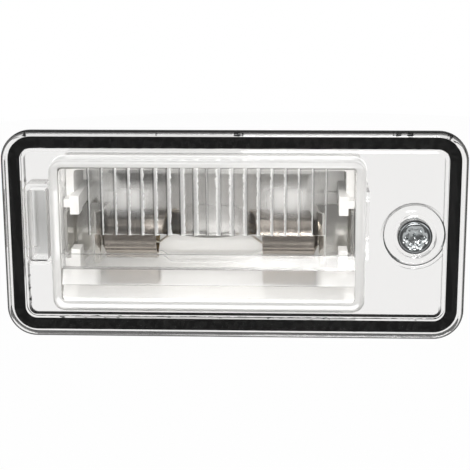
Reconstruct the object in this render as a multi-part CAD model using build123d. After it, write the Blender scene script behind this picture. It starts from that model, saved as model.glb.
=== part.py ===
from build123d import *
import os
from math import radians, tan

# Number plate lamp: a clear moulded lens with a rubber seal, a housing snapped on behind it,
# and a festoon bulb between two spring contacts.
# Millimetres. X runs along the lamp, Z is up, and the lens faces -Y.
# The origin is the middle of the outline, on the panel that the seal presses against.
# Depths are places along Y, so a front is always a smaller number than its rear.

# Lens flange, with the groove that holds the seal
LENS_WIDTH = 85.0
LENS_HEIGHT = 39.0
LENS_CORNER = 5.5
FLANGE_THICKNESS = 1.8
FLANGE_EDGE_ROUND = 0.9
SKIRT_INSET = 0.5
SKIRT_WIDTH = 0.65
SKIRT_SETBACK = 0.6
RIB_WIDTH = 0.7

# Rubber seal
SEAL_WIDTH = 2.1
SEAL_THICKNESS = 2.4
SEAL_EDGE_ROUND = 0.4
SEAL_CLEARANCE = 0.05

# Raised window of the lens, placed by the room that the flange leaves round it
HOOK_END_ROOM = 9.35
SCREW_END_ROOM = 18.45
TOP_ROOM = 4.54
BOTTOM_ROOM = 6.06
WINDOW_RAISE = 4.0
WINDOW_WALL = 1.8
WINDOW_CORNER = 2.4
WINDOW_EDGE_ROUND = 1.2
CAVITY_CORNER = 0.8

# Upright flutes in the upper half of the window, steepest beside the middle line
FLUTES_PER_SIDE = 9
FLUTE_END_ROOM = 5.344
FLUTE_DEPTH = 1.1
FLUTE_LEAST_DEPTH = 0.2
FLUTE_DRAFT = 0.42
FLUTES_ABOVE_BULB = 1.48

# Level prisms in the lower half of the window, each thick along its top edge
PRISMS_BELOW_BULB = 2.32
PRISM_PITCH_GROWTH = 0.18
PRISM_SINK = 0.11
PRISM_TILTS = (9.0, 46.0, 44.0)
MOULDED_ROOT = 0.4

# Collar behind the flange, and the two snap tongues at its ends
COLLAR_WALL = 1.3
COLLAR_DEPTH = 5.0
ENDS_ABOVE_MIDDLE = 1.09
TONGUE_HEIGHT = 12.8
TONGUE_THICKNESS = 1.2
TONGUE_REACH = 5.2
TONGUE_GAP = 0.1
CATCH_HEIGHT = 7.0
CATCH_LENGTH = 2.2
CATCH_PROUD = 0.85
CATCH_SETBACK = 1.4
CATCH_TIP = 0.4
CATCH_CLEARANCE = 0.2

# Pocket in the flange, with the hook that goes behind the panel
POCKET_WIDTH = 3.55
POCKET_HEIGHT = 13.4
POCKET_FROM_END = 6.43
POCKET_DEPTH = 4.8
POCKET_WALL = 1.0
POCKET_FLOOR = 1.4
POCKET_CORNER = 0.5
HOOK_HEIGHT = 11.0
HOOK_GAP = 2.3
HOOK_THICKNESS = 1.4
HOOK_REACH = 3.2
HOOK_ROOT = 1.4
HOOK_LEAD = 0.6

# Fixing screw and its boss
SCREW_FROM_END = 9.3
SCREW_Z = 0.0
SCREW_HEAD_RADIUS = 3.2
SCREW_HEAD_HEIGHT = 2.2
SCREW_HEAD_ROUND = 0.7
SCREW_SHANK_RADIUS = 1.95
SCREW_NECK_RADIUS = 1.7
SCREW_NECK_PAST_BOSS = 0.2
SCREW_LENGTH = 12.0
SCREW_POINT_LENGTH = 1.8
SCREW_POINT_RADIUS = 0.6
STAR_CORE_RADIUS = 1.45
STAR_LOBE_RADIUS = 0.42
STAR_LOBE_REACH = 1.62
STAR_LOBES = 6
STAR_DEPTH = 1.3
STAR_TIP_DEPTH = 0.5
BOSS_RADIUS = 5.75
BOSS_LENGTH = 2.8
BOSS_CHAMFER = 0.25
BOSS_STEP_RADIUS = 6.2
BOSS_STEP_LENGTH = 0.6
COUNTERBORE_RADIUS = 3.9
SEAT_DEPTH = 2.3
SCREW_CLEARANCE = 0.25

# Housing behind the lens
RIM_CLEARANCE = 0.15
RIM_REACH = 2.0
HOUSING_WALL = 1.4
HOUSING_DEPTH = 11.0
HOUSING_FLOOR = 1.6
HOUSING_EDGE_ROUND = 1.2
SLOT_BREAK = 0.1
STRIP_CLEARANCE = 0.2
POST_REACH = 3.4
POST_WIDTH = 2.8
POST_HEIGHT = 3.5
POST_GAP = 6.6
POSTS_ABOVE_BULB = 1.0
CLIP_WIDTH = 1.7
ARM_LIFT = 1.35
ARM_HEIGHT = 1.45
ARM_ROOT = 0.3

# Plug socket on the rear of the housing
SHROUD_WIDTH = 16.4
SHROUD_HEIGHT = 10.4
SHROUD_WALL = 1.2
SHROUD_LENGTH = 8.9
SHROUD_CORNER = 2.0
LATCH_WIDTH = 4.0
LATCH_RISE = 1.1
LATCH_LENGTH = 2.6
LATCH_SETBACK = 2.0

# Terminal block on the housing's floor, with the contact strips in tunnels behind it
TERMINAL_END_ROOM = 1.2
TERMINAL_HEIGHT = 11.6
TERMINAL_CORNER = 1.0

# Spring contacts, each bent from one strip
STRIP_WIDTH = 9.3
STRIP_THICKNESS = 0.5
STRIP_BEND = 0.7
STRIP_LIFT = 0.1
LEG_CLEARANCE = 0.15
PLATE_Y = 5.6
LUG_FRONT = -3.0
LUG_LOW = -2.9
LEAF_FRONT = -1.2
LEAF_FLARE = 0.8
LEAF_FLARE_LENGTH = 1.2
BLADE_WIDTH = 4.8
BLADE_OFFSET = 4.0
BLADE_SETBACK = 1.5
BLADE_CLEARANCE = 0.3
BLADE_NECK = 1.5

# Festoon bulb, lying along X
BULB_Y = 2.0
BULB_BELOW_MIDDLE = 1.16
CONTACT_ROOM = 6.6
BULB_CLEARANCE = 0.1
CAP_LENGTH = 10.35
CAP_RADIUS = 4.25
CAP_WALL = 0.3
CAP_CHAMFER = 0.8
TIP_BASE_RADIUS = 2.4
TIP_END_RADIUS = 1.3
TIP_LENGTH = 1.3
TIP_CLEARANCE = 0.2
GLASS_RADIUS = 5.25
GLASS_WALL = 0.4
GLASS_ROUND = 1.6
GLASS_SHOULDER = 1.7
NECK_CLEARANCE = 0.05
NECK_SHOW = 0.9
NECK_INSET = 5.0
LEAD_RADIUS = 0.2
LEAD_BEND = 0.8
LEAD_DROP = 2.2
LEAD_CLEARANCE = 0.05
FILAMENT_RADIUS = 0.3
FILAMENT_INSET = 2.85
FILAMENT_SAG = 0.9
FILAMENT_GAP = 0.3

# Reflector above and behind the bulb
REFLECTOR_THICKNESS = 0.6
REFLECTOR_FLOOR_ROOM = 2.3
REFLECTOR_Y = 1.0
REFLECTOR_Z = 0.3
REFLECTOR_LOW_ANGLE = 16.5
REFLECTOR_CLEARANCE = 0.1
REFLECTOR_END_GAP = 0.7

# Places that follow from the sizes above
FLANGE_REAR = -SEAL_THICKNESS
FLANGE_FRONT = FLANGE_REAR - FLANGE_THICKNESS
SKIRT_REAR = -SKIRT_SETBACK
WINDOW_WIDTH = LENS_WIDTH - HOOK_END_ROOM - SCREW_END_ROOM
WINDOW_HEIGHT = LENS_HEIGHT - TOP_ROOM - BOTTOM_ROOM
WINDOW_X = (HOOK_END_ROOM - SCREW_END_ROOM) / 2
WINDOW_Z = (BOTTOM_ROOM - TOP_ROOM) / 2
WINDOW_FRONT = FLANGE_FRONT - WINDOW_RAISE
WINDOW_INSIDE = WINDOW_FRONT + WINDOW_WALL
CAVITY_WIDTH = WINDOW_WIDTH - 2 * WINDOW_WALL
CAVITY_HEIGHT = WINDOW_HEIGHT - 2 * WINDOW_WALL
SEAL_INSET = SKIRT_INSET + SKIRT_WIDTH + SEAL_CLEARANCE
GROOVE_INSET = SEAL_INSET + SEAL_WIDTH + SEAL_CLEARANCE
COLLAR_REAR = FLANGE_REAR + COLLAR_DEPTH
COLLAR_WIDTH = CAVITY_WIDTH + 2 * COLLAR_WALL
COLLAR_HEIGHT = CAVITY_HEIGHT + 2 * COLLAR_WALL
COLLAR_CORNER = CAVITY_CORNER + COLLAR_WALL
END_Z = WINDOW_Z + ENDS_ABOVE_MIDDLE
POCKET_X = POCKET_FROM_END - LENS_WIDTH / 2
SCREW_X = LENS_WIDTH / 2 - SCREW_FROM_END
SEAT_Y = FLANGE_FRONT + SEAT_DEPTH
BOSS_REAR = FLANGE_REAR + BOSS_LENGTH

BULB_Z = WINDOW_Z - BULB_BELOW_MIDDLE
BULB_SHOULDERS = CAVITY_WIDTH - 2 * CONTACT_ROOM
FLUTE_PITCH = (CAVITY_WIDTH / 2 - FLUTE_END_ROOM) / FLUTES_PER_SIDE
FLUTE_BOTTOM_Z = BULB_Z + FLUTES_ABOVE_BULB
PRISM_TOP_Z = BULB_Z - PRISMS_BELOW_BULB
PRISM_BOTTOM_Z = WINDOW_Z - CAVITY_HEIGHT / 2 - PRISM_SINK

RIM_WIDTH = CAVITY_WIDTH - 2 * RIM_CLEARANCE
RIM_HEIGHT = CAVITY_HEIGHT - 2 * RIM_CLEARANCE
RIM_CORNER = CAVITY_CORNER - RIM_CLEARANCE
RIM_FRONT = COLLAR_REAR - RIM_REACH
HOUSING_REAR = COLLAR_REAR + HOUSING_DEPTH
FLOOR_Y = HOUSING_REAR - HOUSING_FLOOR
HOUSING_TOP_Z = WINDOW_Z + RIM_HEIGHT / 2 - HOUSING_WALL
SHROUD_REAR = HOUSING_REAR + SHROUD_LENGTH
SLOT_OUT = RIM_WIDTH / 2 + SLOT_BREAK
SLOT_HALF = STRIP_WIDTH / 2 + STRIP_CLEARANCE

STRIP_Y = FLOOR_Y - STRIP_LIFT - STRIP_THICKNESS / 2
OUTER_LEG = SLOT_OUT - LEG_CLEARANCE - STRIP_THICKNESS / 2
INNER_LEG = BULB_SHOULDERS / 2 + BULB_CLEARANCE + STRIP_THICKNESS / 2
BLADE_END = SHROUD_REAR - BLADE_SETBACK

CAP_INNER = BULB_SHOULDERS / 2 - CAP_LENGTH
CAP_BORE = BULB_SHOULDERS / 2 - CAP_CHAMFER - CAP_WALL
NECK_RADIUS = CAP_RADIUS - CAP_WALL - NECK_CLEARANCE
FILAMENT_HALF = CAP_INNER - FILAMENT_INSET
REFLECTOR_RISE = HOUSING_TOP_Z - REFLECTOR_CLEARANCE - REFLECTOR_THICKNESS - REFLECTOR_Z
REFLECTOR_DEPTH = FLOOR_Y - REFLECTOR_FLOOR_ROOM
TERMINAL_WIDTH = RIM_WIDTH - 2 * TERMINAL_END_ROOM
TERMINAL_FRONT = REFLECTOR_DEPTH + REFLECTOR_THICKNESS + REFLECTOR_CLEARANCE

# How far a fillet may go into the wall or corner beside it
FILLET_SHARE = 0.9


def panel(width, height, corner, x=0.0, z=0.0):
    """A rounded rectangle drawn across the lamp, as seen from the front."""
    return Pos(x, z) * RectangleRounded(width, height, corner)


def slab(face, front, rear):
    """A face drawn across the lamp, made solid between two depths."""
    return extrude(Plane.XZ.offset(-rear) * face, amount=rear - front)


def frame(width, height, corner, wall, front, rear):
    """A rounded rectangular ring round the middle of the lamp."""
    hole = panel(width - 2 * wall, height - 2 * wall, corner - wall)
    return slab(panel(width, height, corner) - hole, front, rear)


def disc(radius, x, z, front, rear):
    """A round piece with its axis along Y."""
    return slab(Pos(x, z) * Circle(radius), front, rear)


def block(x_from, x_to, front, rear, z_from, z_to):
    """A box between three pairs of places."""
    middle = Pos((x_from + x_to) / 2, (front + rear) / 2, (z_from + z_to) / 2)
    return middle * Box(x_to - x_from, rear - front, z_to - z_from)


def upright(outline, bottom, top):
    """An outline of X and Y points, made solid between two heights."""
    return extrude(Plane.XY.offset(bottom) * Polygon(*outline), amount=top - bottom, dir=(0, 0, 1))


def lengthwise(outline, left, right):
    """An outline of Y and Z points, made solid along the lamp."""
    return extrude(Plane.YZ.offset(left) * Polygon(*outline), amount=right - left, dir=(1, 0, 0))


def end_block(inner, outer, front, rear, z_from, z_to):
    """A box at the lamp's right end, placed by its distance from the window's middle."""
    return block(WINDOW_X + inner, WINDOW_X + outer, front, rear, z_from, z_to)


def other_end(piece):
    """The same piece at the other end of the window."""
    return mirror(piece, about=Plane.YZ.offset(WINDOW_X))


def both_ends(piece):
    """A piece of the right end together with its twin at the left end."""
    return piece + other_end(piece)


def round_front(piece, radius):
    """Round the edges of a piece's front face."""
    return fillet(piece.faces().sort_by(Axis.Y)[0].edges(), radius)


def flutes():
    """Saw-tooth flutes on the window's inner face, each with a drafted step away from the middle."""
    top = WINDOW_Z + CAVITY_HEIGHT / 2 + MOULDED_ROOT
    root = WINDOW_INSIDE - MOULDED_ROOT
    teeth = Part()
    for count in range(FLUTES_PER_SIDE):
        near = WINDOW_X + count * FLUTE_PITCH
        far = near + FLUTE_PITCH
        share = 1 - count / FLUTES_PER_SIDE
        crest = WINDOW_INSIDE + FLUTE_LEAST_DEPTH + (FLUTE_DEPTH - FLUTE_LEAST_DEPTH) * share
        ridge = far - FLUTE_DRAFT * (crest - WINDOW_INSIDE)
        tooth = [
            (near, root),
            (far, root),
            (far, WINDOW_INSIDE),
            (ridge, crest),
            (near, WINDOW_INSIDE),
        ]
        teeth += upright(tooth, FLUTE_BOTTOM_Z, top)
    return both_ends(teeth)


def prisms():
    """Level prisms across the lower half of the window."""
    reach = CAVITY_WIDTH / 2 + MOULDED_ROOT
    root = WINDOW_INSIDE - MOULDED_ROOT
    bands = Part()
    top = PRISM_TOP_Z
    number = len(PRISM_TILTS)
    mean_pitch = (PRISM_TOP_Z - PRISM_BOTTOM_Z) / number
    for count, tilt in enumerate(PRISM_TILTS):
        pitch = mean_pitch + (count - (number - 1) / 2) * PRISM_PITCH_GROWTH
        bottom = top - pitch
        crest = WINDOW_INSIDE + pitch * tan(radians(tilt))
        band = [(root, top), (root, bottom), (WINDOW_INSIDE, bottom), (crest, top)]
        bands += lengthwise(band, WINDOW_X - reach, WINDOW_X + reach)
        top = bottom
    return bands


def snap_tongue():
    """The right end's tongue, with the window that its catch sits in."""
    wall = COLLAR_WIDTH / 2
    outer = wall + TONGUE_GAP + TONGUE_THICKNESS
    low = END_Z - TONGUE_HEIGHT / 2
    high = END_Z + TONGUE_HEIGHT / 2
    root = end_block(wall - COLLAR_WALL / 2, outer, FLANGE_REAR, COLLAR_REAR, low, high)
    tongue = end_block(wall + TONGUE_GAP, outer, FLANGE_REAR, COLLAR_REAR + TONGUE_REACH, low, high)
    half = CATCH_HEIGHT / 2 + CATCH_CLEARANCE
    front = COLLAR_REAR + CATCH_SETBACK - CATCH_CLEARANCE
    rear = COLLAR_REAR + CATCH_SETBACK + CATCH_LENGTH + CATCH_CLEARANCE
    opening = end_block(wall, outer + TONGUE_THICKNESS, front, rear, END_Z - half, END_Z + half)
    return root + tongue - opening


def hooked_pocket():
    """The walls of the pocket and, behind them, the hook for the panel's edge."""
    width = POCKET_WIDTH + 2 * POCKET_WALL
    height = POCKET_HEIGHT + 2 * POCKET_WALL
    rear = FLANGE_FRONT + POCKET_DEPTH + POCKET_FLOOR
    walls = slab(panel(width, height, POCKET_CORNER + POCKET_WALL, POCKET_X, END_Z), FLANGE_REAR, rear)
    side = POCKET_X - width / 2
    end = side - HOOK_REACH
    hook_rear = HOOK_GAP + HOOK_THICKNESS
    floor = rear - POCKET_FLOOR / 2
    profile = [
        (side + HOOK_ROOT, floor),
        (side, floor),
        (side, HOOK_GAP),
        (end + HOOK_LEAD, HOOK_GAP),
        (end, HOOK_GAP + HOOK_LEAD),
        (end, hook_rear),
        (side + HOOK_ROOT, hook_rear),
    ]
    return walls + upright(profile, END_Z - HOOK_HEIGHT / 2, END_Z + HOOK_HEIGHT / 2)


def screw_boss():
    """The boss under the screw's head, with a low step kept clear of the seal groove."""
    boss = disc(BOSS_RADIUS, SCREW_X, SCREW_Z, FLANGE_REAR, BOSS_REAR)
    boss = chamfer(boss.faces().sort_by(Axis.Y)[-1].edges(), BOSS_CHAMFER)
    step_rear = FLANGE_REAR + BOSS_STEP_LENGTH
    step = disc(BOSS_STEP_RADIUS, SCREW_X, SCREW_Z, FLANGE_REAR, step_rear)
    inside = panel(
        LENS_WIDTH - 2 * GROOVE_INSET,
        LENS_HEIGHT - 2 * GROOVE_INSET,
        LENS_CORNER - GROOVE_INSET,
    )
    return boss + (step & slab(inside, FLANGE_REAR, step_rear))


def lens():
    """The clear moulding: flange, raised window, collar, screw boss, pocket and tongues."""
    flange = slab(panel(LENS_WIDTH, LENS_HEIGHT, LENS_CORNER), FLANGE_FRONT, FLANGE_REAR)
    flange = round_front(flange, min(FLANGE_EDGE_ROUND, FILLET_SHARE * FLANGE_THICKNESS))
    window = panel(WINDOW_WIDTH, WINDOW_HEIGHT, WINDOW_CORNER, WINDOW_X, WINDOW_Z)
    edge_round = min(WINDOW_EDGE_ROUND, FILLET_SHARE * WINDOW_CORNER, FILLET_SHARE * WINDOW_RAISE)
    raised = round_front(slab(window, WINDOW_FRONT, FLANGE_REAR), edge_round)
    skirt = frame(
        LENS_WIDTH - 2 * SKIRT_INSET,
        LENS_HEIGHT - 2 * SKIRT_INSET,
        LENS_CORNER - SKIRT_INSET,
        SKIRT_WIDTH,
        FLANGE_REAR,
        SKIRT_REAR,
    )
    rib = frame(
        LENS_WIDTH - 2 * GROOVE_INSET,
        LENS_HEIGHT - 2 * GROOVE_INSET,
        LENS_CORNER - GROOVE_INSET,
        RIB_WIDTH,
        FLANGE_REAR,
        SKIRT_REAR,
    )
    collar_face = panel(COLLAR_WIDTH, COLLAR_HEIGHT, COLLAR_CORNER, WINDOW_X, WINDOW_Z)
    collar = slab(collar_face, FLANGE_REAR, COLLAR_REAR)
    body = flange + raised + skirt + rib + collar + screw_boss() + hooked_pocket()
    body += both_ends(snap_tongue())

    cavity = panel(CAVITY_WIDTH, CAVITY_HEIGHT, CAVITY_CORNER, WINDOW_X, WINDOW_Z)
    pocket = panel(POCKET_WIDTH, POCKET_HEIGHT, POCKET_CORNER, POCKET_X, END_Z)
    body -= slab(cavity, WINDOW_INSIDE, COLLAR_REAR)
    body -= slab(pocket, FLANGE_FRONT, FLANGE_FRONT + POCKET_DEPTH)
    body -= disc(COUNTERBORE_RADIUS, SCREW_X, SCREW_Z, FLANGE_FRONT, SEAT_Y)
    hole = SCREW_SHANK_RADIUS + SCREW_CLEARANCE
    body -= disc(hole, SCREW_X, SCREW_Z, FLANGE_FRONT, BOSS_REAR)
    return body + flutes() + prisms()


def seal():
    """The rubber ring in the lens's groove, standing proud of the skirt."""
    ring = frame(
        LENS_WIDTH - 2 * SEAL_INSET,
        LENS_HEIGHT - 2 * SEAL_INSET,
        LENS_CORNER - SEAL_INSET,
        SEAL_WIDTH,
        FLANGE_REAR,
        0.0,
    )
    rear_edges = ring.faces().sort_by(Axis.Y)[-1].edges()
    return fillet(rear_edges, min(SEAL_EDGE_ROUND, SEAL_WIDTH / 4))


def guide_posts():
    """The right end's two posts, each with a clip that stands forward of the rim."""
    outer = RIM_WIDTH / 2
    inner = outer - POST_WIDTH
    front = RIM_FRONT - POST_REACH
    rear = RIM_FRONT + ARM_ROOT
    middle = BULB_Z + POSTS_ABOVE_BULB
    low = middle + POST_GAP / 2
    arm_low = low + ARM_LIFT
    clip = end_block(inner, inner + CLIP_WIDTH, front, rear, low, low + POST_HEIGHT)
    clip += end_block(inner, outer, front, rear, arm_low, arm_low + ARM_HEIGHT)
    clips = clip + mirror(clip, about=Plane.XY.offset(middle))
    top = low + POST_HEIGHT
    bottom = middle - POST_GAP / 2 - POST_HEIGHT
    backs = end_block(inner, outer, RIM_FRONT, FLOOR_Y, BULB_Z + SLOT_HALF, top)
    backs += end_block(inner, outer, RIM_FRONT, FLOOR_Y, bottom, BULB_Z - SLOT_HALF)
    return clips + backs


def snap_catch():
    """The right end's ramp that the tongue's window drops over."""
    wall = WINDOW_X + COLLAR_WIDTH / 2
    front = COLLAR_REAR + CATCH_SETBACK
    rear = front + CATCH_LENGTH
    profile = [
        (wall - HOUSING_WALL / 2, front),
        (wall, front),
        (wall + CATCH_PROUD, rear - CATCH_TIP),
        (wall + CATCH_PROUD, rear),
        (wall - HOUSING_WALL / 2, rear),
    ]
    return upright(profile, END_Z - CATCH_HEIGHT / 2, END_Z + CATCH_HEIGHT / 2)


def plug_socket():
    """The shroud on the rear, with the ramp that a plug's latch clicks over."""
    outside = panel(SHROUD_WIDTH, SHROUD_HEIGHT, SHROUD_CORNER, WINDOW_X, BULB_Z)
    inside = panel(
        SHROUD_WIDTH - 2 * SHROUD_WALL,
        SHROUD_HEIGHT - 2 * SHROUD_WALL,
        SHROUD_CORNER - SHROUD_WALL,
        WINDOW_X,
        BULB_Z,
    )
    shroud = slab(outside - inside, HOUSING_REAR - HOUSING_FLOOR / 2, SHROUD_REAR)
    top = BULB_Z + SHROUD_HEIGHT / 2
    rear = SHROUD_REAR - LATCH_SETBACK
    ramp = [
        (rear - LATCH_LENGTH, top - SHROUD_WALL / 2),
        (rear, top - SHROUD_WALL / 2),
        (rear, top),
        (rear - LATCH_LENGTH, top + LATCH_RISE),
    ]
    return shroud + lengthwise(ramp, WINDOW_X - LATCH_WIDTH / 2, WINDOW_X + LATCH_WIDTH / 2)


def housing():
    """The white moulding that carries the contacts, the reflector and the plug socket."""
    rim = panel(RIM_WIDTH, RIM_HEIGHT, RIM_CORNER, WINDOW_X, WINDOW_Z)
    tub = panel(COLLAR_WIDTH, COLLAR_HEIGHT, COLLAR_CORNER, WINDOW_X, WINDOW_Z)
    outside = slab(tub, COLLAR_REAR, HOUSING_REAR)
    edge_round = min(HOUSING_EDGE_ROUND, FILLET_SHARE * COLLAR_CORNER)
    outside = fillet(outside.faces().sort_by(Axis.Y)[-1].edges(), edge_round)
    body = outside + slab(rim, RIM_FRONT, COLLAR_REAR) + both_ends(snap_catch()) + plug_socket()
    inside = panel(
        RIM_WIDTH - 2 * HOUSING_WALL,
        RIM_HEIGHT - 2 * HOUSING_WALL,
        RIM_CORNER,
        WINDOW_X,
        WINDOW_Z,
    )
    body -= slab(inside, RIM_FRONT, FLOOR_Y)
    terminal = panel(TERMINAL_WIDTH, TERMINAL_HEIGHT, TERMINAL_CORNER, WINDOW_X, BULB_Z)
    body += slab(terminal, TERMINAL_FRONT, FLOOR_Y)

    low = BULB_Z - SLOT_HALF
    high = BULB_Z + SLOT_HALF
    end_slot = end_block(RIM_WIDTH / 2 - 2 * HOUSING_WALL, SLOT_OUT, RIM_FRONT, FLOOR_Y, low, high)
    channel_front = STRIP_Y - STRIP_THICKNESS / 2 - STRIP_CLEARANCE
    channel_inner = BLADE_OFFSET - STRIP_THICKNESS / 2 - BLADE_CLEARANCE
    channel = end_block(channel_inner, TERMINAL_WIDTH / 2, channel_front, FLOOR_Y, low, high)
    blade_half = BLADE_WIDTH / 2 + STRIP_CLEARANCE
    blade_outer = BLADE_OFFSET + STRIP_THICKNESS / 2 + BLADE_CLEARANCE
    blade_slot = end_block(
        channel_inner,
        blade_outer,
        channel_front,
        HOUSING_REAR,
        BULB_Z - blade_half,
        BULB_Z + blade_half,
    )
    body -= both_ends(end_slot) + both_ends(channel) + both_ends(blade_slot)
    return body + both_ends(guide_posts())


def contact():
    """The right contact: blade, floor strip, outer leg with its lug, plate and the leaf for the bulb."""
    path = FilletPolyline(
        (BLADE_OFFSET, BLADE_END),
        (BLADE_OFFSET, STRIP_Y),
        (OUTER_LEG, STRIP_Y),
        (OUTER_LEG, PLATE_Y),
        (INNER_LEG, PLATE_Y),
        (INNER_LEG, LEAF_FRONT),
        (INNER_LEG + LEAF_FLARE, LEAF_FRONT - LEAF_FLARE_LENGTH),
        radius=STRIP_BEND,
    )
    start = Plane(path @ 0, x_dir=(0, 0, 1), z_dir=path % 0)
    strip = sweep(start * Rectangle(STRIP_WIDTH, STRIP_THICKNESS), path=path)
    side = block(
        BLADE_OFFSET - BLADE_NECK,
        BLADE_OFFSET + BLADE_NECK,
        STRIP_Y - STRIP_THICKNESS,
        BLADE_END,
        BLADE_WIDTH / 2,
        STRIP_WIDTH,
    )
    strip -= side + mirror(side, about=Plane.XY)
    strip += block(
        OUTER_LEG - STRIP_THICKNESS / 2,
        OUTER_LEG + STRIP_THICKNESS / 2,
        LUG_FRONT,
        PLATE_Y,
        LUG_LOW,
        STRIP_WIDTH / 2,
    )
    hole = Circle(TIP_BASE_RADIUS + TIP_CLEARANCE)
    leg_face = Plane((INNER_LEG, BULB_Y, 0), x_dir=(0, 1, 0), z_dir=(1, 0, 0))
    strip -= extrude(leg_face * hole, amount=STRIP_THICKNESS, both=True)
    return Pos(WINDOW_X, 0, BULB_Z) * strip


def turned(profile):
    """A profile of length along X and radius along Y, turned about the bulb's axis."""
    return Pos(WINDOW_X, BULB_Y, BULB_Z) * revolve(profile, axis=Axis.X)


def glass_profile(end, neck, wide):
    """Half the outline of a festoon bulb's glass, with soft shoulders."""
    neck_in = CAP_INNER - NECK_SHOW
    wide_in = neck_in - GLASS_SHOULDER
    outline = Polygon(
        (-end, 0),
        (-end, neck),
        (-neck_in, neck),
        (-wide_in, wide),
        (wide_in, wide),
        (neck_in, neck),
        (end, neck),
        (end, 0),
    )
    corners = [corner for corner in outline.vertices() if abs(corner.X) < end]
    return fillet(corners, GLASS_ROUND)


def bulb_glass():
    """The hollow glass, closed at both ends round the lead wires."""
    end = CAP_INNER + NECK_INSET
    shell = glass_profile(end, NECK_RADIUS, GLASS_RADIUS)
    shell -= glass_profile(end - GLASS_WALL, NECK_RADIUS - GLASS_WALL, GLASS_RADIUS - GLASS_WALL)
    bore = LEAD_RADIUS + LEAD_CLEARANCE
    shell -= Pos(0, bore / 2) * Rectangle(4 * end, bore)
    return turned(shell)


def bulb_cap():
    """The right metal cap, hollow over the glass, with a blunt tip for the contact's hole."""
    shoulder = BULB_SHOULDERS / 2
    tip = shoulder + TIP_LENGTH
    outline = Polygon(
        (CAP_INNER, 0),
        (CAP_INNER, CAP_RADIUS),
        (shoulder - CAP_CHAMFER, CAP_RADIUS),
        (shoulder, TIP_BASE_RADIUS),
        (tip, TIP_END_RADIUS),
        (tip, 0),
    )
    inner = CAP_RADIUS - CAP_WALL
    outline -= Polygon((CAP_INNER, 0), (CAP_INNER, inner), (CAP_BORE, inner), (CAP_BORE, 0))
    bore = LEAD_RADIUS + LEAD_CLEARANCE
    outline -= Polygon((CAP_BORE, 0), (CAP_BORE, bore), (shoulder, bore), (shoulder, 0))
    return turned(outline)


def bulb_lead():
    """The right lead wire, from the cap's tip through the glass to the filament."""
    end = BULB_SHOULDERS / 2 - LEAD_CLEARANCE
    neck_end = CAP_INNER + NECK_INSET - GLASS_WALL
    path = FilletPolyline(
        (end, 0, 0),
        (neck_end - LEAD_BEND, 0, 0),
        (CAP_INNER, 0, -LEAD_DROP),
        (FILAMENT_HALF + FILAMENT_GAP, 0, -FILAMENT_GAP),
        radius=LEAD_BEND,
    )
    section = Plane(path @ 0, z_dir=path % 0) * Circle(LEAD_RADIUS)
    return Pos(WINDOW_X, BULB_Y, BULB_Z) * sweep(section, path=path)


def bulb_filament():
    """The filament's coil as one thin rod, sagging between the leads."""
    path = ThreePointArc((-FILAMENT_HALF, 0, 0), (0, 0, -FILAMENT_SAG), (FILAMENT_HALF, 0, 0))
    section = Plane(path @ 0, z_dir=path % 0) * Circle(FILAMENT_RADIUS)
    return Pos(WINDOW_X, BULB_Y, BULB_Z) * sweep(section, path=path)


def reflector():
    """The bright trough above and behind the bulb."""
    depth = REFLECTOR_DEPTH - REFLECTOR_Y
    middle = (REFLECTOR_Y, REFLECTOR_Z)
    sweep_angle = 90 + REFLECTOR_LOW_ANGLE
    inner = EllipticalCenterArc(
        middle,
        depth,
        REFLECTOR_RISE,
        -REFLECTOR_LOW_ANGLE,
        arc_size=sweep_angle,
    )
    outer = EllipticalCenterArc(
        middle,
        depth + REFLECTOR_THICKNESS,
        REFLECTOR_RISE + REFLECTOR_THICKNESS,
        -REFLECTOR_LOW_ANGLE,
        arc_size=sweep_angle,
    )
    section = make_face([inner, outer, Line(inner @ 0, outer @ 0), Line(inner @ 1, outer @ 1)])
    half = INNER_LEG - STRIP_THICKNESS / 2 - REFLECTOR_END_GAP
    return extrude(Plane.YZ.offset(WINDOW_X - half) * section, amount=2 * half)


def fixing_screw():
    """A pan-head screw with a star recess, a thinner neck in the boss and a plain shank."""
    head_front = SEAT_Y - SCREW_HEAD_HEIGHT
    head = disc(SCREW_HEAD_RADIUS, SCREW_X, SCREW_Z, head_front, SEAT_Y)
    head = round_front(head, min(SCREW_HEAD_ROUND, FILLET_SHARE * SCREW_HEAD_HEIGHT))
    star = Circle(STAR_CORE_RADIUS)
    for lobe in PolarLocations(STAR_LOBE_REACH, STAR_LOBES):
        star += lobe * Circle(STAR_LOBE_RADIUS)
    star_floor = head_front + STAR_DEPTH
    head -= slab(Pos(SCREW_X, SCREW_Z) * star, head_front, star_floor)
    tip = Polygon((0, star_floor), (STAR_CORE_RADIUS, star_floor), (0, star_floor + STAR_TIP_DEPTH))
    head -= Pos(SCREW_X, 0, SCREW_Z) * revolve(tip, axis=Axis.Y)
    end = SEAT_Y + SCREW_LENGTH
    neck_end = BOSS_REAR + SCREW_NECK_PAST_BOSS
    shank = Polygon(
        (0, SEAT_Y),
        (SCREW_NECK_RADIUS, SEAT_Y),
        (SCREW_NECK_RADIUS, neck_end),
        (SCREW_SHANK_RADIUS, neck_end),
        (SCREW_SHANK_RADIUS, end - SCREW_POINT_LENGTH),
        (SCREW_POINT_RADIUS, end),
        (0, end),
    )
    return head + Pos(SCREW_X, 0, SCREW_Z) * revolve(shank, axis=Axis.Y)


pieces = {
    "lens": lens(),
    "seal": seal(),
    "housing": housing(),
    "reflector": reflector(),
    "contact_left": other_end(contact()),
    "contact_right": contact(),
    "bulb_glass": bulb_glass(),
    "bulb_cap_left": other_end(bulb_cap()),
    "bulb_cap_right": bulb_cap(),
    "bulb_lead_left": other_end(bulb_lead()),
    "bulb_lead_right": bulb_lead(),
    "bulb_filament": bulb_filament(),
    "fixing_screw": fixing_screw(),
}

os.makedirs("parts", exist_ok=True)
for name, piece in pieces.items():
    export_step(piece, f"parts/{name}.step")
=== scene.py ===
"""Finishes, fine pieces and stage for a number plate lamp with a clear fluted lens."""

import math

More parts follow.
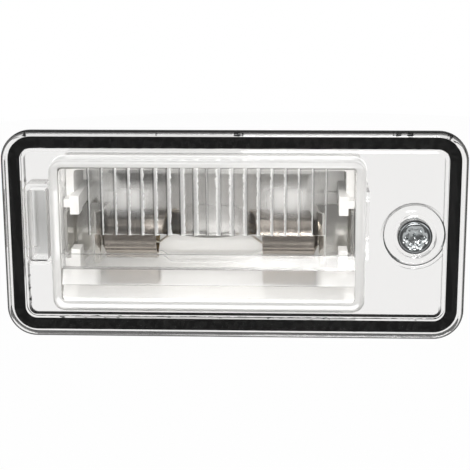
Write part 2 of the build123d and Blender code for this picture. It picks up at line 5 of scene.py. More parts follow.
import bmesh
import bpy
from mathutils import Matrix, Vector


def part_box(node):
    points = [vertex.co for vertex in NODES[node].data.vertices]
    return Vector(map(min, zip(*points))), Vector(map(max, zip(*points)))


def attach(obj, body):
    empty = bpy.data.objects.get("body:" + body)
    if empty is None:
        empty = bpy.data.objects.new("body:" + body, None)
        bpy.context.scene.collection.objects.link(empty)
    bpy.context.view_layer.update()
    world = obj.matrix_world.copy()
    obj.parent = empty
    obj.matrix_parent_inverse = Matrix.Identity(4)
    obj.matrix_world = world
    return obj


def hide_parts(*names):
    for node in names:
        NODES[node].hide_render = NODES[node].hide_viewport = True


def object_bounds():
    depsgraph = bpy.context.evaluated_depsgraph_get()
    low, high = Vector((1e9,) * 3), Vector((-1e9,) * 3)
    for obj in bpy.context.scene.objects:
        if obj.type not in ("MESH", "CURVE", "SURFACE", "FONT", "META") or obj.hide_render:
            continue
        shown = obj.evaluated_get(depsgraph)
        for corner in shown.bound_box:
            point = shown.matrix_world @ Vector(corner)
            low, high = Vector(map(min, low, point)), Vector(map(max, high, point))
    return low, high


bl_info = {
    "name": "Number plate lamp",
    "version": (1, 0, 0),
    "blender": (4, 5, 0),
    "location": "View3D > Sidebar > Lamp",
    "description": "Gives a number plate lamp its finishes, screw thread, filament and stage",
    "category": "Object",
}

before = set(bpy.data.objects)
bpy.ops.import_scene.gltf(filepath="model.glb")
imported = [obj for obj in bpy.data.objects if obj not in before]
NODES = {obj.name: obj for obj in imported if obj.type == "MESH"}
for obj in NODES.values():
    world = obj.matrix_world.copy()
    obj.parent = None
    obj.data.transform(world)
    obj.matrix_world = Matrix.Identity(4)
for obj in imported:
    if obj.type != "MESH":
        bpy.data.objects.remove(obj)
CAD_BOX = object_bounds()
MM = 0.001


def node_middle(name):
    """The middle of a node's box, in millimetres."""
    low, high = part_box(name)
    return (low + high) / (2 * MM)


def node_half(name):
    """Half the size of a node's box, in millimetres."""
    low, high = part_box(name)
    return (high - low) / (2 * MM)


# Places and sizes that the finishes follow, in millimetres. Pairs are x and z.
BULB_MIDDLE = node_middle("bulb_glass")
SCREW_MIDDLE = node_middle("fixing_screw")
LENS_HALF = node_half("lens").xz
LENS_CORNER = 5.5
FLANGE_FRONT = -4.2
FLANGE_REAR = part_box("seal")[0].y / MM
RIB_INSET = 4.05
WINDOW_MIDDLE = (BULB_MIDDLE.x, 0.76)
WINDOW_HALF = (28.6, 14.2)
WINDOW_CORNER = 2.4
WINDOW_WALL = 1.8
WINDOW_INSIDE = -6.4
CAVITY_LIFT = 0.5
FLUTE_PITCH = 2.384
FLUTE_ROOM = 1.4
FLUTES_HALF = 21.7
FLUTES_LOW = 1.08
FLUTES_HIGH = 14.0
PRISM_EDGES = (-2.72, -5.55, -8.56, -11.75)
POCKET_MIDDLE = (-36.07, 1.85)
POCKET_HALF = (1.78, 6.7)
POCKET_WALL = 1.5
POCKET_FLOOR = 0.6
CAP_INNER_RADIUS = 4.05
CAP_BARREL_HALF = 19.0

# How soft the borders between finishes are, in millimetres
SOFT = 0.1
SHARP = 0.05

# Where finishes fade in or out, as two ends in millimetres. OUT counts from the window's middle
# to either side, UP along z, DOWN against it and HOOKWARD against x.
FLUTE_LOW_SHADE_UP = (4.5, 6.5)
FLUTE_TOP_SHADE_UP = (11.2, 12.2)
FLUTE_PAINTED_LIGHT_OUT = (8.0, 20.0)
FLUTE_PAINTED_LIGHT_UP = (3.5, 11.5)
PRISM_END_OUT = (18.6, 21.2)
WINDOW_SHADE_LINE_UP = (-12.0, -9.0)
RAGGED_LINE_DOWN = (13.0, 15.0)
RAGGED_LINE_HOOKWARD = (34.0, 37.0)
RAGGED_LINE_UP = (9.0, 11.0)
TROUGH_HIGHLIGHT_OUT = (11.0, 16.0)
TROUGH_HIGHLIGHT_UP = (1.0, 4.0)
TROUGH_HIGHLIGHT_TOP_UP = (5.5, 7.5)
TROUGH_LOW_LIGHT_UP = (-1.5, 1.5)
TROUGH_DARK_REFLECTION_OUT = (9.0, 13.0)
TROUGH_DARK_REFLECTION_UP = (6.5, 8.5)
CAP_DARK_REFLECTION_OUT = (12.0, 14.2)
CAP_DARK_REFLECTION_UP = (-0.4, 1.4)
SCREW_RIM_SHADOW = (2.2, 3.1)

# Share of a middle flute's width that its matt step takes, how far the step's edge sways,
# and what both lose with each millimetre outwards
STEP_SHARE = 0.36
STEP_SHARE_LOSS = 0.0138
STEP_SWAY = 0.5
STEP_SWAY_LOSS = 0.015

# How matt, rough, darkened by painted shade or milky the parts of the lens are, with the prisms
# from the top
PRISM_MATT = (0.08, 0.25, 0.6)
PRISM_END_MATT = 0.7
PRISM_ROUGHNESS = (0.1, 0.06)
PRISM_PAINTED_SHADE = 0.45
FLUTE_ROUGHNESS = 0.15
POCKET_ROUGHNESS = 0.6
WALL_ROUGHNESS = 0.12
WALL_MILK = 0.33

# Way that the lens's matt parts face, whatever their own slope
MATT_FACING = (0.0, -0.66, 0.75)

# Colours that stay as they are, among them the grey and black of the lens's painted shade and dark
# lines and the grey of the screw's painted shadow
WHITE = (1.0, 1.0, 1.0)
PAINTED_SHADE_GREY = (0.45, 0.45, 0.44)
MATT_WHITE = (0.97, 0.97, 0.96)
SHADE_AND_LINE_BLACK = (0.015, 0.015, 0.015)
RIM_SHADOW_GREY = (0.05, 0.052, 0.055)
GLASS_TINT = (0.99, 0.99, 0.99)
BARE_BRASS = (0.85, 0.66, 0.4)
LEAD_COLOUR = (0.6, 0.55, 0.48)
FILAMENT_COLOUR = (0.35, 0.34, 0.33)
FLOOR_GREY = (0.86, 0.86, 0.86)

# Seal's ring, in millimetres
SEAL_WIDTH = 2.1
SEAL_CORNER = 4.3
SEAL_CUT = 0.35
SEAL_LUMP = 1.1
SEAL_PRESS = 0.3

# Screw's shank, in millimetres, and the share of its radius that the point loses
NECK_END = 0.6
NECK_OVERLAP = 0.1
THREAD_RADIUS = 1.95
THREAD_RUNOUT = 0.9
POINT_LENGTH = 2.4
POINT_TAPER = 0.72

# Floor in metres, the point that the camera looks at and its sensor in millimetres
FLOOR_RADIUS = 0.6
FLOOR_BACK = 0.45
CAMERA_TARGET = (0.335, FLANGE_FRONT, 0.37)
SENSOR_WIDTH = 36.0

# Strength of the sky for rays that nobody sees, and how far its front is dimmed
SKY_UNSEEN = 0.6
SKY_FRONT_DIM = 0.88

# Soft boxes: name, place and width in metres, and power in watts
SOFT_BOXES = (
    ("top_box", (-0.05, -0.5, 0.62), 0.3, 1.65),
    ("front_box", (0.05, -0.74, 0.12), 0.16, 1.2),
    ("left_box", (-0.62, -0.42, 0.42), 0.5, 1.75),
    ("right_box", (0.62, -0.42, 0.42), 0.5, 1.75),
)


class Wire:
    """One output of a shader node. Python's operators on it add Math nodes beside it."""

    def __init__(self, tree, socket):
        self.tree = tree
        self.socket = socket

    @classmethod
    def add(cls, tree, kind, settings=None, inputs=None, output=0):
        """Add a node of that kind, set it up, join or set its inputs and give one output."""
        node = tree.nodes.new(kind)
        for key, value in (settings or {}).items():
            setattr(node, key, value)
        for key, value in (inputs or {}).items():
            if isinstance(value, Wire):
                tree.links.new(value.socket, node.inputs[key])
            else:
                node.inputs[key].default_value = value
        return cls(tree, node.outputs[output] if node.outputs else None)

    def math(self, operation, first, second=0.0):
        """One Math node on two values."""
        settings = {"operation": operation}
        return Wire.add(self.tree, "ShaderNodeMath", settings, {0: first, 1: second})

    def __add__(self, other):
        return self.math("ADD", self, other)

    def __radd__(self, other):
        return self.math("ADD", other, self)

    def __sub__(self, other):
        return self.math("SUBTRACT", self, other)

    def __rsub__(self, other):
        return self.math("SUBTRACT", other, self)

    def __mul__(self, other):
        return self.math("MULTIPLY", self, other)

    def __rmul__(self, other):
        return self.math("MULTIPLY", other, self)

    def __truediv__(self, other):
        return self.math("DIVIDE", self, other)

    def __pow__(self, other):
        return self.math("POWER", self, other)

    def between(self, low, high):
        """0 under low, 1 over high, and a smooth step between them."""
        settings = {"interpolation_type": "SMOOTHSTEP"}
        inputs = {"Value": self, "From Min": low, "From Max": high}
        return Wire.add(self.tree, "ShaderNodeMapRange", settings, inputs)

    def inside(self, low, high, soft):
        """1 between two values and 0 outside them, with soft ends."""
        return self.between(low, low + soft) * (1.0 - self.between(high - soft, high))

    def root(self):
        """The square root of a value."""
        return self.math("SQRT", self)

    def size(self):
        """A value without its sign."""
        return self.math("ABSOLUTE", self)

    def fraction(self):
        """What a value has beyond its whole number."""
        return self.math("FRACT", self)

    def most(self, other):
        """The larger of two values."""
        return self.math("MAXIMUM", self, other)

    def least(self, other):
        """The smaller of two values."""
        return self.math("MINIMUM", self, other)


def blank_finish(name):
    """A new material with an empty node tree."""
    finish = bpy.data.materials.new(name)
    finish.use_nodes = True
    finish.node_tree.nodes.clear()
    return finish


def close_finish(finish, shader):
    """Join a shader to the material's output."""
    Wire.add(finish.node_tree, "ShaderNodeOutputMaterial", inputs={"Surface": shader})
    return finish


def object_place(tree, scale=(1.0, 1.0, 1.0)):
    """Object coordinates, stretched."""
    place = Wire.add(tree, "ShaderNodeTexCoord", output="Object")
    return Wire.add(tree, "ShaderNodeMapping", inputs={"Vector": place, "Scale": scale})


def parts_of(tree, place):
    """The three parts of a vector as values."""
    split = Wire.add(tree, "ShaderNodeSeparateXYZ", inputs={"Vector": place})
    outputs = split.socket.node.outputs
    return [Wire(tree, outputs[axis]) for axis in ("X", "Y", "Z")]


def millimetres(tree):
    """A place on the lamp as x, y and z in millimetres."""
    return parts_of(tree, object_place(tree, scale=(1.0 / MM, 1.0 / MM, 1.0 / MM)))


def steady(tree, direction):
    """A direction that is the same all over a surface."""
    return Wire.add(tree, "ShaderNodeCombineXYZ", inputs=dict(zip("XYZ", direction)))


def grain(tree, place, scale, detail=3.0, roughness=0.55):
    """Noise as a value about 0.5."""
    inputs = {"Vector": place, "Scale": scale, "Detail": detail, "Roughness": roughness}
    return Wire.add(tree, "ShaderNodeTexNoise", inputs=inputs)


def bumped(tree, height, strength, distance):
    """A Bump node's normal from a height value."""
    inputs = {"Height": height, "Strength": strength, "Distance": distance}
    return Wire.add(tree, "ShaderNodeBump", inputs=inputs)


def shade(colour, amount):
    """A colour made lighter or darker."""
    return tuple(min(1.0, part * amount) for part in colour)


def opaque(colour):
    """A colour with its alpha, as sockets take it."""
    return (*colour, 1.0)


def tinted(tree, factor, dark, light):
    """A colour that goes from dark to light with a value. Either end may be a node's output."""
    first, second = (end if isinstance(end, Wire) else opaque(end) for end in (dark, light))
    inputs = {0: factor, 6: first, 7: second}
    return Wire.add(tree, "ShaderNodeMix", {"data_type": "RGBA"}, inputs, 2)


def blend(tree, factor, first, second):
    """A shader that goes from one shader to another with a value."""
    return Wire.add(tree, "ShaderNodeMixShader", inputs={0: factor, 1: first, 2: second})


def let_lamps_through(finish, body, tint):
    """Close a clear finish so that lamp rays reach what is behind it."""
    tree = finish.node_tree
    inputs = {"Color": opaque(shade(tint, 1.04))}
    passing = Wire.add(tree, "ShaderNodeBsdfTransparent", inputs=inputs)
    lamp_ray = Wire.add(tree, "ShaderNodeLightPath", output="Is Shadow Ray")
    return close_finish(finish, blend(tree, lamp_ray, body, passing))


def glass_finish(name, tint):
    """Thin clear glass with a faint unevenness."""
    finish = blank_finish(name)
    tree = finish.node_tree
    place = object_place(tree)
    haze = grain(tree, place, scale=900.0, detail=4.0)
    waves = grain(tree, place, scale=120.0, detail=2.0)
    body = Wire.add(
        tree,
        "ShaderNodeBsdfPrincipled",
        inputs={
            "Base Color": opaque(tint),
            "Roughness": haze * 0.02,
            "IOR": 1.02,
            "Transmission Weight": 1.0,
            "Normal": bumped(tree, waves, strength=0.01, distance=0.4 * MM),
        },
    )
    return let_lamps_through(finish, body, tint)


def outline_depth(x, z, half, corner):
    """How far a place lies outside a rounded outline about 0, in millimetres, below 0 inside it."""
    past_x = x.size() - (half[0] - corner)
    past_z = z.size() - (half[1] - corner)
    round_part = (past_x.most(0.0) ** 2.0 + past_z.most(0.0) ** 2.0).root()
    return round_part + past_x.most(past_z).least(0.0) - corner


def off_middle(x):
    """How far a place lies from the window's middle, to either side, in millimetres."""
    return (x - WINDOW_MIDDLE[0]).size()


def on_hook_side(x):
    """1 on the half of the window that is nearer to the hook, and 0 on the other."""
    return 1.0 - (x - WINDOW_MIDDLE[0]).between(-1.0, 1.0)


def across_flute(x):
    """How far across its flute a place lies, from 0 to 1."""
    return (off_middle(x) / FLUTE_PITCH).fraction()


def by_flutes(x, y, z):
    """1 on the flutes and 0 on the rest of the lens."""
    wide = 1.0 - off_middle(x).between(FLUTES_HALF - SOFT, FLUTES_HALF + SOFT)
    high = z.inside(FLUTES_LOW - 2 * SOFT, FLUTES_HIGH, SOFT)
    return wide * high * y.inside(WINDOW_INSIDE - SOFT, WINDOW_INSIDE + FLUTE_ROOM, SHARP)


def in_cavity(x, y):
    """1 on the inner side of the window, as far as the prisms reach, and 0 on the rest."""
    reach = WINDOW_HALF[0] - WINDOW_WALL
    wide = 1.0 - off_middle(x).between(reach, reach + SOFT)
    return wide * y.inside(WINDOW_INSIDE - SOFT, FLANGE_REAR, SHARP)


def by_prism(x, y, z, number):
    """1 on one of the level prisms, counted from the top, and 0 on the rest of the lens."""
    return in_cavity(x, y) * z.inside(PRISM_EDGES[number + 1], PRISM_EDGES[number], SHARP)


def flute_lines(tree, x, z, facing):
    """Where the flutes' ragged steps, their feet and the middle crease catch the light."""
    from_middle = off_middle(x)
    place = object_place(tree, scale=(1.0, 1.0, 0.9))
    ragged = grain(tree, place, scale=2400.0, roughness=0.6)
    width = STEP_SHARE - from_middle * STEP_SHARE_LOSS
    sway = (ragged - 0.5) * (STEP_SWAY - from_middle * STEP_SWAY_LOSS)
    inner = 1.0 - width + sway
    steps = (across_flute(x) - inner).between(-0.03, 0.03)
    foot = z.inside(FLUTES_LOW - 2 * SOFT, FLUTES_LOW + 2 * SOFT, SOFT)
    feet = facing[2].between(0.6, 0.85) * foot
    crease = 1.0 - from_middle.between(0.03, 0.07)
    return steps.most(feet).most(crease) * (0.9 + ragged.between(0.38, 0.55) * 0.1)


def flute_streaks_and_painted_shade(tree, x, z):
    """Fine streaks on the flutes, and painted shade on the hook's side, low down and at the top."""
    hook_side = on_hook_side(x)
    place = object_place(tree, scale=(1.0, 1.0, 0.3))
    speck = grain(tree, place, scale=3200.0, roughness=0.7)
    streaks = speck.between(0.35, 0.65) * (0.16 + hook_side * 0.1)
    # The fall across each flute, the low part and the top are painted shade; the streaks are grain
    fall = (1.0 - across_flute(x)) * hook_side * 0.16
    low = (1.0 - z.between(*FLUTE_LOW_SHADE_UP)) * (0.1 + hook_side * 0.14)
    return streaks + fall + low + z.between(*FLUTE_TOP_SHADE_UP) * 0.4


def flute_painted_light(x, z):
    """How much matt white the outer flutes get as painted light, more so away from the hook."""
    wide = off_middle(x).inside(*FLUTE_PAINTED_LIGHT_OUT, soft=5.0)
    return wide * z.inside(*FLUTE_PAINTED_LIGHT_UP, soft=3.0) * (0.46 - on_hook_side(x) * 0.12)


def flute_foot_shadows(x, y, z):
    """Where a painted shadow lines the foot of each flute's step."""
    foot = 1.0 - across_flute(x).between(0.07, 0.16)
    return by_flutes(x, y, z) * foot * (0.2 + on_hook_side(x) * 0.25)


def window_walls(x, y, z):
    """1 on the raised window's milky walls, and 0 on the rest of the lens."""
    across = x - WINDOW_MIDDLE[0]
    upward = z - WINDOW_MIDDLE[1]
    outer = outline_depth(across, upward, WINDOW_HALF, WINDOW_CORNER)
    inner = outline_depth(across, upward - CAVITY_LIFT, WINDOW_HALF, WINDOW_CORNER)
    raised = 1.0 - y.between(FLANGE_REAR - 0.6, FLANGE_REAR - 0.4)
    outside = outer.between(0.1, 0.25)
    ring = inner.between(-WINDOW_WALL - SOFT, -WINDOW_WALL + SHARP) * (1.0 - outside)
    return ring * raised


def window_shade_line(tree, x, y, z):
    """Where painted shade draws the raised window's front edge as a fine broken line."""
    across = x - WINDOW_MIDDLE[0]
    upward = z - WINDOW_MIDDLE[1]
    depth = outline_depth(across, upward, WINDOW_HALF, WINDOW_CORNER)
    broken = grain(tree, object_place(tree), scale=260.0, roughness=0.7).between(0.35, 0.65)
    line = 1.0 - (depth + 0.3).size().between(0.04, 0.16)
    raised = 1.0 - y.between(FLANGE_FRONT - 0.6, FLANGE_FRONT - 0.4)
    return line * raised * z.between(*WINDOW_SHADE_LINE_UP) * (0.05 + broken * 0.14)


def prism_shade_lines(x, y, z):
    """Where painted shade draws the prisms' sharp edges as fine grey lines."""
    lines = 0.0
    for edge in PRISM_EDGES[:-1]:
        line = 1.0 - (z - edge).size().between(0.04, 0.12)
        lines = line + lines
    return in_cavity(x, y) * lines * 0.4


def pocket_walls(x, y, z, facing):
    """Where the pocket's side walls, its rear and the hook are frosted."""
    past_x = POCKET_HALF[0] + POCKET_WALL
    past_z = POCKET_HALF[1] + POCKET_WALL
    wide = x.inside(-LENS_HALF[0], POCKET_MIDDLE[0] + past_x, SOFT)
    high = 1.0 - (z - POCKET_MIDDLE[1]).size().between(past_z - SOFT, past_z)
    walls = y.between(FLANGE_FRONT - SOFT, FLANGE_FRONT) * facing[0].between(0.3, 0.6)
    rear = y.between(POCKET_FLOOR + 0.3, POCKET_FLOOR + 0.4)
    beside = (x - POCKET_MIDDLE[0]).size().between(past_x - SOFT, past_x)
    return wide * high * (walls * (1.0 - beside)).most(rear)


def pocket_painted_shade(tree, x, y, z):
    """Where the pocket's floor gets painted shade, most so in its middle."""
    upward = z - POCKET_MIDDLE[1]
    wide = (x - POCKET_MIDDLE[0]).inside(-POCKET_HALF[0] - SOFT, POCKET_HALF[0] + SOFT, SOFT)
    high = upward.inside(-POCKET_HALF[1] - SOFT, POCKET_HALF[1] + SOFT, 2 * SOFT)
    floor = y.between(POCKET_FLOOR - 0.4, POCKET_FLOOR - 0.2)
    cloud = grain(tree, object_place(tree, scale=(1.0, 1.0, 0.4)), scale=700.0)
    return wide * high * floor * (0.75 + cloud * 0.3 - upward.size() * 0.04)


def painted_shade_and_ragged_line(tree, x, y, z, facing):
    """Where the lens is dark: painted dark reflection at the rim, a ragged line by the rib, painted
    shade lines.
    """
    depth = outline_depth(x, z, LENS_HALF, LENS_CORNER)
    # Painted dark reflection along the outer rounded rim
    rim = depth.between(-1.3, -0.6) * (1.0 - facing[1].between(0.8, 0.97))
    # A ragged dark line by the inner rib, low down and on the hook's side
    patchiness = grain(tree, object_place(tree), scale=420.0, detail=4.0, roughness=0.7)
    low_side = (0.0 - z).between(*RAGGED_LINE_DOWN) * patchiness.between(0.24, 0.34)
    hook_side = (0.0 - x).between(*RAGGED_LINE_HOOKWARD) * (1.0 - z.between(*RAGGED_LINE_UP))
    hook_side = hook_side * patchiness.between(0.52, 0.58)
    by_rib = depth.inside(-RIB_INSET - 0.55, -RIB_INSET + 0.35, 0.06)
    by_rib = by_rib * y.inside(FLANGE_REAR - 0.2, FLANGE_REAR + 0.6, SOFT)
    ragged_line = by_rib * low_side.most(hook_side)
    # Painted shade lines along the prisms' edges, the window's front edge and the flutes' feet
    fine = prism_shade_lines(x, y, z).most(window_shade_line(tree, x, y, z)).most(flute_foot_shadows(x, y, z))
    return (rim * 0.85).most(ragged_line * 0.95).most(fine)


def matt_shaders(tree):
    """Two whites for the lens: a matt one, and a milky one that is also lit from behind."""
    ahead = steady(tree, MATT_FACING)
    behind = steady(tree, [-part for part in MATT_FACING])
    inputs = {"Color": opaque(MATT_WHITE), "Normal": ahead}
    white = Wire.add(tree, "ShaderNodeBsdfDiffuse", inputs=inputs)
    inputs = {"Color": opaque(MATT_WHITE), "Normal": behind}
    through = Wire.add(tree, "ShaderNodeBsdfTranslucent", inputs=inputs)
    milky = Wire.add(tree, "ShaderNodeAddShader", inputs={0: white, 1: through})
    return white, milky


def lens_finish(name, tint):
    """Clear moulded plastic with matt flutes, milky walls, painted shade, painted light and dark
    edges.
    """
    finish = blank_finish(name)
    tree = finish.node_tree
    place = object_place(tree)
    x, y, z = millimetres(tree)
    normal = Wire.add(tree, "ShaderNodeTexCoord", output="Normal")
    facing = [part.size() for part in parts_of(tree, normal)]
    fluted = by_flutes(x, y, z)
    walls = window_walls(x, y, z)
    prisms = [by_prism(x, y, z, number) for number in range(len(PRISM_MATT))]

    matt = fluted * flute_lines(tree, x, z, facing).most(flute_painted_light(x, z))
    for prism, amount in zip(prisms, PRISM_MATT):
        matt = matt.most(prism * amount)
    matt = matt.most(prisms[1] * off_middle(x).between(*PRISM_END_OUT) * PRISM_END_MATT)

    rough = fluted * FLUTE_ROUGHNESS
    for prism, amount in zip(prisms, PRISM_ROUGHNESS):
        rough = rough + prism * amount
    rough = rough.most(pocket_walls(x, y, z, facing) * POCKET_ROUGHNESS)
    rough = rough.most(walls * WALL_ROUGHNESS)

    # Grey mixed into the clear plastic as painted shade on the pocket's floor, the flutes and the
    # first prism
    painted_shade = pocket_painted_shade(tree, x, y, z).most(fluted * flute_streaks_and_painted_shade(tree, x, z))
    painted_shade = painted_shade.most(prisms[0] * PRISM_PAINTED_SHADE)
    skin = grain(tree, place, scale=900.0, detail=4.0)
    waves = grain(tree, place, scale=120.0, detail=2.0)
    body = Wire.add(
        tree,
        "ShaderNodeBsdfPrincipled",
        inputs={
            "Base Color": tinted(tree, painted_shade, tint, PAINTED_SHADE_GREY),
            "Roughness": skin * 0.02 + rough,
            "IOR": 1.58,
            "Transmission Weight": 1.0,
            "Normal": bumped(tree, waves, strength=0.02, distance=0.4 * MM),
        },
    )
    white, milky = matt_shaders(tree)
    black = Wire.add(tree, "ShaderNodeBsdfDiffuse", inputs={"Color": opaque(SHADE_AND_LINE_BLACK)})
    stepped = blend(tree, matt, body, white)
    walled = blend(tree, walls * WALL_MILK, stepped, milky)
    edged = blend(tree, painted_shade_and_ragged_line(tree, x, y, z, facing), walled, black)
    return let_lamps_through(finish, edged, tint)


def moulded_finish(name, colour, roughness, grain_size, depth, gloss=0.5):
    """Opaque moulded plastic or rubber with a fine skin."""
    finish = blank_finish(name)
    tree = finish.node_tree
    place = object_place(tree)
    cloud = grain(tree, place, scale=60.0, detail=2.0)
    skin = grain(tree, place, scale=1.0 / grain_size, detail=4.0)
    body = Wire.add(
        tree,
        "ShaderNodeBsdfPrincipled",
        inputs={
            "Base Color": tinted(tree, cloud, shade(colour, 0.96), shade(colour, 1.03)),
            "Roughness": roughness - 0.06 + skin * 0.12,
            "Specular IOR Level": gloss,
            "Normal": bumped(tree, skin, strength=0.25, distance=depth),
        },
    )
    return close_finish(finish, body)


def drawn_metal(name, colour, roughness, stretch, depth):
    """Metal with fine drawing lines, long in the direction where the stretch is small."""
    finish = blank_finish(name)
    tree = finish.node_tree
    place = object_place(tree, scale=stretch)
    lines = grain(tree, place, scale=1000.0, detail=4.0, roughness=0.6)
    cloud = grain(tree, object_place(tree), scale=300.0)
    body = Wire.add(
        tree,
        "ShaderNodeBsdfPrincipled",
        inputs={
            "Base Color": tinted(tree, cloud, shade(colour, 0.86), shade(colour, 1.08)),
            "Metallic": 1.0,
            "Roughness": roughness - 0.08 + lines * 0.16,
            "Normal": bumped(tree, lines, strength=0.3, distance=depth),
        },
    )
    return close_finish(finish, body)


def trough_finish(name, colour):
    """Bright sprayed metal with painted light below the bulb and at its ends, and a painted dark
    reflection above.
    """
    finish = blank_finish(name)
    tree = finish.node_tree
    x, _, z = millimetres(tree)
    from_middle = off_middle(x)
    place = object_place(tree, scale=(0.04, 1.0, 1.0))
    lines = grain(tree, place, scale=1000.0, detail=4.0, roughness=0.6)
    cloud = grain(tree, object_place(tree), scale=300.0)
    # Painted highlight at the trough's ends
    ends = from_middle.between(*TROUGH_HIGHLIGHT_OUT) * z.between(*TROUGH_HIGHLIGHT_UP)
    ends = ends * (1.0 - z.between(*TROUGH_HIGHLIGHT_TOP_UP))
    # Painted light below the bulb and at the ends, where the metal is also less metallic
    pale = ends.most(1.0 - z.between(*TROUGH_LOW_LIGHT_UP))
    # Painted dark reflection above the ends, stronger on the hook's side
    dim = from_middle.between(*TROUGH_DARK_REFLECTION_OUT) * z.between(*TROUGH_DARK_REFLECTION_UP)
    dim = dim * (0.25 + on_hook_side(x) * 0.75)
    tone_and_painted_light = (cloud * 0.16 + 0.56 - dim * 0.6).most(pale)
    body = Wire.add(
        tree,
        "ShaderNodeBsdfPrincipled",
        inputs={
            "Base Color": tinted(tree, tone_and_painted_light, shade(colour, 0.3), shade(colour, 1.1)),
            "Metallic": 0.55 * (1.0 - pale),
            "Roughness": 0.42 + lines * 0.16,
            "Normal": bumped(tree, lines, strength=0.3, distance=0.004 * MM),
        },
    )
    return close_finish(finish, body)


def screw_finish(name, colour, roughness):
    """Plated steel with a painted shadow towards the head's rim."""
    finish = blank_finish(name)
    tree = finish.node_tree
    x, _, z = millimetres(tree)
    radius = ((x - SCREW_MIDDLE.x) ** 2.0 + (z - SCREW_MIDDLE.z) ** 2.0).root()
    skin = grain(tree, object_place(tree), scale=1000.0, detail=4.0, roughness=0.6)
    plating = tinted(tree, skin, shade(colour, 0.86), shade(colour, 1.08))
    body = Wire.add(
        tree,
        "ShaderNodeBsdfPrincipled",
        inputs={
            # Painted shadow darkens the plating towards the head's rim
            "Base Color": tinted(tree, radius.between(*SCREW_RIM_SHADOW) * 0.75, plating, RIM_SHADOW_GREY),
            "Metallic": 1.0,
            "Roughness": roughness - 0.08 + skin * 0.16,
            "Normal": bumped(tree, skin, strength=0.3, distance=0.006 * MM),
        },
    )
    return close_finish(finish, body)


def cap_finish(name, colour, roughness):
    """Plated brass with lines round the cap, painted dark reflection at its far end, and bare on
    its inside.
    """
    finish = blank_finish(name)
    tree = finish.node_tree
    x, y, z = millimetres(tree)
    from_middle = off_middle(x)
    radius = ((y - BULB_MIDDLE.y) ** 2.0 + (z - BULB_MIDDLE.z) ** 2.0).root()
    barrel = 1.0 - from_middle.between(CAP_BARREL_HALF - SOFT, CAP_BARREL_HALF)
    outside = radius.between(CAP_INNER_RADIUS - SHARP, CAP_INNER_RADIUS + SHARP)
    place = object_place(tree, scale=(1.0, 0.05, 0.05))
    lines = grain(tree, place, scale=1000.0, detail=4.0, roughness=0.6)
    cloud = grain(tree, object_place(tree), scale=300.0)
    # Painted dark reflection on the cap's upper side near its far end, stronger on the hook's side
    dark_reflection = from_middle.between(*CAP_DARK_REFLECTION_OUT) * z.between(*CAP_DARK_REFLECTION_UP)
    dark_reflection = dark_reflection * (0.5 + on_hook_side(x) * 0.5)
    tone_and_painted_light = cloud * 0.4 + (1.0 - dark_reflection) * 0.7
    plating = tinted(tree, tone_and_painted_light, shade(colour, 0.08), shade(colour, 1.1))
    body = Wire.add(
        tree,
        "ShaderNodeBsdfPrincipled",
        inputs={
            "Base Color": tinted(tree, barrel * (1.0 - outside), plating, BARE_BRASS),
            "Metallic": 1.0,
            "Roughness": roughness - 0.08 + lines * 0.16,
            "Normal": bumped(tree, lines, strength=0.3, distance=0.002 * MM),
        },
    )
    return close_finish(finish, body)


def dress(finish, *names):
    """Give CAD pieces a finish through their material slots."""
    for name in names:
        NODES[name].material_slots[0].material = finish


def start_alone():
    """Leave nothing selected, so that operators reach only the next piece."""
    if bpy.context.object and bpy.context.object.mode != "OBJECT":
        bpy.ops.object.mode_set(mode="OBJECT")
    bpy.ops.object.select_all(action="DESELECT")


def pick(piece):
    """Make one piece selected and active."""
    start_alone()
    piece.select_set(True)
    bpy.context.view_layer.objects.active = piece


def settle(piece):
    """Put a piece's place into its mesh, so that its object sits at the origin."""
    pick(piece)
    bpy.ops.object.transform_apply(location=True, rotation=True, scale=True)


def tidy_mesh(piece):
    """Merge doubles, close open ends and turn the faces outwards."""
    pick(piece)
    bpy.ops.object.mode_set(mode="EDIT")
    bpy.ops.mesh.select_all(action="SELECT")
    bpy.ops.mesh.remove_doubles(threshold=1e-6)
    bpy.ops.mesh.select_all(action="DESELECT")
    bpy.ops.mesh.select_non_manifold()
    bpy.ops.mesh.fill()
    bpy.ops.mesh.select_all(action="SELECT")
    bpy.ops.mesh.normals_make_consistent(inside=False)
    bpy.ops.object.mode_set(mode="OBJECT")


def wind(piece, axis, pitch, turns, steps):
    """Wind a profile into a helix about one of its object's axes."""
    pick(piece)
    helix = piece.modifiers.new("helix", "SCREW")
    helix.axis = axis
    helix.angle = 2 * math.pi
    helix.screw_offset = pitch
    helix.iterations = turns
    helix.steps = steps
    helix.render_steps = steps
    helix.use_merge_vertices = False
    bpy.ops.object.modifier_apply(modifier=helix.name)


